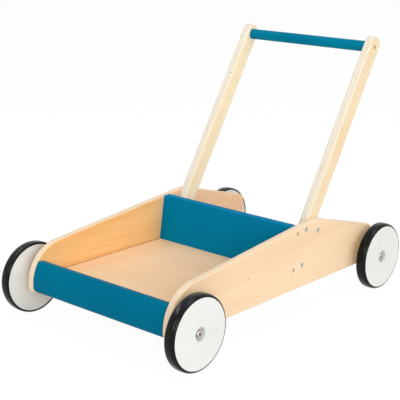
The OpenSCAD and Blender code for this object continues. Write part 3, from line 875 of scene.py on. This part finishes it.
zinc = metal("zinc_steel", (0.64, 0.63, 0.565), (0.455, 0.445, 0.40), 0.38, [FOOT_BOLT, LOCK, SPARE], 0.25)
screw_zinc = metal("screw_zinc", (0.74, 0.63, 0.46), (0.58, 0.49, 0.35), 0.42)
washer_zinc = metal("washer_zinc", (0.63, 0.605, 0.595), (0.47, 0.45, 0.44), 0.44, [(FRONT_Y, AXLE_Z)], 0.92)
brass = metal("insert_brass", (0.74, 0.54, 0.24), (0.56, 0.39, 0.16), 0.32)
print("metals:", zinc.name, screw_zinc.name, washer_zinc.name, brass.name)

# %% [markdown]
# ## Spacers and washers
# A turned wooden spacer keeps the wheel clear of the panel, and a steel washer covers the end of the sleeve
# that the wheel runs on. Both are plain rings. A cylinder with a hole drilled in it would do, but a ring of
# four corners on the lathe has cleaner faces. Their edges are rounded a little.

# %% Spacers and washers
def turned_wood(name, light, dark):
    """Bare wood, turned with its grain along the axle."""
    finish = Finish(name, Specular_IOR_Level=0.3)
    grain = finish.place.scaled(40, 900, 900).noise(detail=3)
    tone = finish.place.scaled(8, 120, 120).noise(detail=2)
    finish.link("Base Color", (tone.step(0.3, 0.7) * 0.6 + (grain - 0.5) * 0.8).blend(light, dark))
    finish.link("Roughness", 0.55 + (grain - 0.5) * 0.2)
    finish.bump(grain, 0.3, 0.12)
    return finish.material


FIRST_AXLE = (PANEL_OUT, FRONT_Y, AXLE_Z)
SPACER_LONG, SPACER_R = 16.7, 11.0
SLEEVE_END, WASHER_THICK, WASHER_R, WASHER_HOLE = 27.3, 1.5, 9.0, 3.1


def turned_ring(name, start, end, hole, radius):
    """A plain ring on the front right axle."""
    return lathe(name, FIRST_AXLE, [(start, hole), (start, radius), (end, radius), (end, hole)], 72)


spacer_wood = turned_wood("spacer_wood", (0.80, 0.58, 0.34), (0.62, 0.41, 0.20))
spacer = turned_ring("spacer_front_right_wood", 0, SPACER_LONG, INSERT_HOLE, SPACER_R)
round_edges(spacer, 0.8, 3)
at_each_corner(spacer, "spacer_{}_wood", "spacer_{}", spacer_wood, "chassis")
HEAD_START = SLEEVE_END + WASHER_THICK
washer = turned_ring("hub_washer_front_right_zinc", SLEEVE_END, HEAD_START, WASHER_HOLE, WASHER_R)
round_edges(washer, 0.3, 2)
at_each_corner(washer, "hub_washer_{}_zinc", "hub_washer_{}", washer_zinc, "chassis")
print("spacer and washer faces:", len(spacer.data.polygons), len(washer.data.polygons))

# %% [markdown]
# ## Wheel bolts
# A bolt with a domed head and a hexagon socket holds each wheel. The head could be a flattened sphere, but
# on the lathe the tip, the shank, the head's rim and its dome are one closed section. The socket is then
# cut with a six-sided drill.

# %% Wheel bolts
BOLT_R, HEAD_R, HEAD_RIM, DOME = 3.0, 5.25, 0.8, 2.5
BOLT_TIP, TIP_BEVEL = -11.0, 0.6
BOLT_SOCKET, SOCKET_FLOOR, SOCKET_REACH = 4.0, 1.1, 5.0


def socket_cut(piece, x0, x1, y, z, flats):
    """Cuts a hexagon socket of a width across flats."""
    drill(piece, x0, x1, y, z, flats / 2 / math.cos(math.pi / 6), sides=6)


dome_angles = [math.pi / 2 * k / 8 for k in range(9)]
dome = [(HEAD_START + HEAD_RIM + DOME * math.sin(a), HEAD_R * (0.6 + 0.4 * math.cos(a))) for a in dome_angles]
bolt_section = [
    (BOLT_TIP, 0), (BOLT_TIP, BOLT_R - TIP_BEVEL), (BOLT_TIP + TIP_BEVEL, BOLT_R), (HEAD_START, BOLT_R),
    (HEAD_START, HEAD_R), *dome, (HEAD_START + HEAD_RIM + DOME, 0),
]
wheel_bolt = lathe("wheel_bolt_front_right_zinc", FIRST_AXLE, bolt_section, 64)
washer_face = PANEL_OUT + HEAD_START
socket_cut(wheel_bolt, washer_face + SOCKET_FLOOR, washer_face + SOCKET_REACH, FRONT_Y, AXLE_Z, BOLT_SOCKET)
at_each_corner(wheel_bolt, "wheel_bolt_{}_zinc", "wheel_bolt_{}", washer_zinc, "chassis")
print("wheel bolt faces:", len(wheel_bolt.data.polygons))

# %% [markdown]
# ## Handle bolts and nuts
# Three bolts on each side show as grey discs near the peak of the panel. Each sits in a shallow seat. Two
# end in brass inserts that are hidden in the post, and the spare one ends in a sleeve nut with a flat
# flange. Each could be a piece of its own, but the bolts of one side are one node in the CAD, so they are
# joined here too.

# %% Handle bolts and nuts
LONG_SHANK, SHORT_SHANK = 20.6, 9.6
FLAT_HEAD = [(0, 3), (0, 4.5), (1.6, 4.5), (1.9, 4.4), (2.1, 4.2), (2.2, 3.9), (2.2, 0)]
NUT_SECTION = [
    (-2, 0), (-2, 6.2), (-1.8, 6.6), (-1.2, 7), (0, 7),
    (0, 4.3), (8.1, 4.3), (8.1, 3.05), (0.5, 3.05), (0.5, 0),
]
HEAD_SOCKET_FLOOR, NUT_SOCKET_FLOOR, SHORT_REACH = 0.8, 1.0, 4.0


def join(pieces, name):
    """Joins pieces into one object."""
    select_only(pieces[0])
    for piece in pieces:
        piece.select_set(True)
    bpy.ops.object.join()
    pieces[0].name = pieces[0].data.name = name
    return pieces[0]


def handle_bolt(place, shank):
    """A bolt whose flat head stands 0.8 mm proud of the panel."""
    seat = PANEL_OUT - SEAT_DEEP
    made = lathe("handle_bolt", (seat, *place), [(-shank, 0), (-shank, BOLT_R), *FLAT_HEAD], 64)
    socket_cut(made, seat + HEAD_SOCKET_FLOOR, seat + SHORT_REACH, *place, BOLT_SOCKET)
    return made


bolts = [handle_bolt(FOOT_BOLT, LONG_SHANK), handle_bolt(LOCK, LONG_SHANK), handle_bolt(SPARE, SHORT_SHANK)]
right_bolts = join(bolts, "handle_bolts_right_zinc")
both_sides(right_bolts, "handle_bolts_{}_zinc", "handle_bolts_{}", zinc)
nut = lathe("sleeve_nut_right_zinc", (PANEL_IN, *SPARE), NUT_SECTION, 64)
socket_cut(nut, PANEL_IN - NUT_SOCKET_FLOOR, PANEL_IN - SHORT_REACH, *SPARE, BOLT_SOCKET)
both_sides(nut, "sleeve_nut_{}_zinc", "sleeve_nut_{}", zinc)
print("handle bolts and nut faces:", len(right_bolts.data.polygons), len(nut.data.polygons))

# %% [markdown]
# ## Screws
# Two countersunk screws with a cross recess hold each end of the back board, and one sunk screw with a
# hexagon socket holds each end of the bar. Only their heads show, but each is a whole screw with a pointed
# end, so that it still looks right when a panel is taken off. The cross is cut with two thin blocks.

# %% Screws
COUNTERSUNK = [(-40, 0), (-40, 0.4), (-36, 2), (-2.3, 2), (-0.25, 3.6), (-0.1, 3.6), (-0.1, 0)]
BAR_SCREW = [(-40, 0), (-40, 1.2), (-38, 2), (0, 2), (0, 3.7), (1.4, 3.7), (2.0, 3.3), (2.4, 2.6), (2.4, 0)]
CROSS_LONG, CROSS_WIDE, CROSS_DEEP = 4.0, 1.0, 1.5
SCREW_TOP, BAR_SCREW_SOCKET = -0.1, 3.0


def cross_cut(piece, x, y, z):
    """Cuts a cross recess into a head that faces +x."""
    for wide, tall in ((CROSS_LONG, CROSS_WIDE), (CROSS_WIDE, CROSS_LONG)):
        middle, reach = Vector((x, y, z)), Vector((CROSS_DEEP, wide / 2, tall / 2))
        combine(piece, block("cross_cutter", middle - reach, middle + reach))


def board_screw(place):
    """A countersunk screw of the back board, just below the panel's face."""
    made = lathe("board_screw", (PANEL_OUT, *place), COUNTERSUNK, 48)
    cross_cut(made, PANEL_OUT + SCREW_TOP, *place)
    return made


screws = join([board_screw(place) for place in BACK_SCREWS], "back_board_screws_right_zinc")
both_sides(screws, "back_board_screws_{}_zinc", "back_board_screws_{}", screw_zinc)
bar_screw = lathe("bar_screw_right_brass", (BAR_SEAT, *BAR), BAR_SCREW, 48)
socket_cut(bar_screw, BAR_SEAT + HEAD_SOCKET_FLOOR, BAR_SEAT + SHORT_REACH, *BAR, BAR_SCREW_SOCKET)
both_sides(bar_screw, "bar_screw_{}_brass", "bar_screw_{}", brass)
print("screw faces:", len(screws.data.polygons), len(bar_screw.data.polygons))

# %% [markdown]
# ## Hidden pieces
# The axle sleeves, the inserts and the dowels lie inside the walker and are plain. They could be modelled
# again, but nothing would look different, so their CAD nodes stay as they are and only get a finish.

# %% Finishes of the CAD nodes that stay
STAYING = {"axle_sleeve": zinc, "axle_inserts": brass, "handle_inserts": brass, "front_dowels": spacer_wood}
for start_of_name, material in STAYING.items():
    for name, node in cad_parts.items():
        if name.startswith(start_of_name):
            node.data.materials.clear()
            node.data.materials.append(material)
print("CAD nodes kept:", [name for name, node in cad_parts.items() if not node.hide_render])

# %% [markdown]
# ## Floor and sky
# The photograph has a plain white ground. It could be made white with more light, but that would bleach the
# walker. So the floor and the sky show as white to the camera, and to glossy and transmitted rays, while
# all other light meets a pale diffuse floor and a dim even sky. A small share of the floor's own shading
# stays visible, which keeps a little of the walker's shadow.

# %% Floor and sky
FLOOR_SIZE, FLOOR_GAP, FLOOR_GREY, FLOOR_GLOW = 40.0, 0.0005, (0.90, 0.90, 0.90, 1), 1.02
SHADOW_SHARE, SKY_LEVEL, WHITE = 0.06, 0.33, (1, 1, 1, 1)


def seen_directly(wire):
    """1 for rays from the camera, off gloss or through glass."""
    rays = wire.node("LightPath").socket.node.outputs
    names = ("Is Camera Ray", "Is Glossy Ray", "Is Transmission Ray")
    camera_ray, glossy, through = (Wire(wire.tree, rays[name]) for name in names)
    return camera_ray.math("MAXIMUM", glossy.math("MAXIMUM", through))


deselect()
bpy.ops.mesh.primitive_plane_add(size=FLOOR_SIZE, location=(0, 0, -FLOOR_GAP))
floor = bpy.context.object
floor.name = "studio_floor"
ground = bpy.data.materials.new("floor_white")
ground.use_nodes = True
wire = Wire(ground.node_tree)
diffuse = wire.node("BsdfDiffuse", None, {"Color": FLOOR_GREY})
glow = wire.node("Emission", None, {"Strength": FLOOR_GLOW})
mixed = wire.node("MixShader", None, {0: seen_directly(wire) * (1 - SHADOW_SHARE), 1: diffuse, 2: glow})
ground.node_tree.links.new(mixed.socket, ground.node_tree.nodes["Material Output"].inputs["Surface"])
floor.data.materials.append(ground)

world = bpy.data.worlds.new("studio")
bpy.context.scene.world = world
world.use_nodes = True
sky = Wire(world.node_tree)
dim = sky.node("Background", None, {"Color": WHITE, "Strength": SKY_LEVEL})
bright = sky.node("Background", None, {"Color": WHITE, "Strength": 1.0})
both = sky.node("MixShader", None, {0: seen_directly(sky), 1: dim, 2: bright})
world.node_tree.links.new(both.socket, world.node_tree.nodes["World Output"].inputs["Surface"])
print("sky level", SKY_LEVEL, "floor grey", FLOOR_GREY[0])

# %% [markdown]
# ## Lamps
# The photograph was taken in the soft, nearly shadowless light of a studio. One lamp would throw hard
# shadows, so three large soft boxes stand far away, above, on the right and low on the right, and the dim
# sky fills in. A narrow upright strip in front and a long thin box on the left add the streaks of shine on
# the black tyres.

# %% Lamps
def soft_lamp(name, place, aim, wide, tall, power):
    """A soft box of a width and height in metres, turned towards a point."""
    lamp = bpy.data.lights.new(name, "AREA")
    lamp.shape = "RECTANGLE"
    lamp.size, lamp.size_y = wide, tall
    lamp.energy = power
    stand = bpy.data.objects.new(name, lamp)
    bpy.context.scene.collection.objects.link(stand)
    stand.location = place
    stand.rotation_euler = (Vector(aim) - Vector(place)).to_track_quat("-Z", "Y").to_euler()


soft_lamp("lamp_above", (0.5, 0.6, 4.2), (0, 0, 0.1), 2.1, 2.1, 45)
soft_lamp("lamp_right", (4.0, 0.8, 1.9), (0, 0.1, 0.1), 2.2, 2.2, 39)
soft_lamp("lamp_low_right", (3.6, -2.6, 1.4), (0, 0, 0.1), 2.1, 2.1, 83)
soft_lamp("lamp_strip", (-0.3, -2.8, 1.5), (0, 0, 0.1), 0.32, 1.3, 16)
soft_lamp("lamp_left", (-1.4, -0.6, 1.8), (0, 0, 0.15), 1.5, 0.25, 6.5)

# %% [markdown]
# ## Camera
# The camera looks from the front right and slightly above, as in the photograph. It could be placed by eye,
# but its place, lens and roll were fitted to the straight edges of the boards and the outlines of the
# wheels. A small shift of the lens frames the walker, and no depth of field is used.

# %% Camera
EYE = Vector((1.0737, -1.2681, 0.6219))
AIM = Vector((0.0, 0.0381, 0.1386))
ROLL = math.radians(1.30)
camera = bpy.data.cameras.new("photo_camera")
camera.sensor_width = 36.0
camera.lens = 94.35
camera.shift_x, camera.shift_y = -0.0699, 0.0362
tripod = bpy.data.objects.new("photo_camera", camera)
bpy.context.scene.collection.objects.link(tripod)
tripod.location = EYE
tripod.rotation_mode = "QUATERNION"
tripod.rotation_quaternion = (AIM - EYE).to_track_quat("-Z", "Y") @ Quaternion((0, 0, 1), ROLL)
bpy.context.scene.camera = tripod
bpy.context.scene.view_settings.view_transform = "Standard"
print("camera", round((AIM - EYE).length, 3), "m away")

# %% [markdown]
# The box of the looks has to match the box of the CAD model, because Blender adds detail and never
# changes the size.
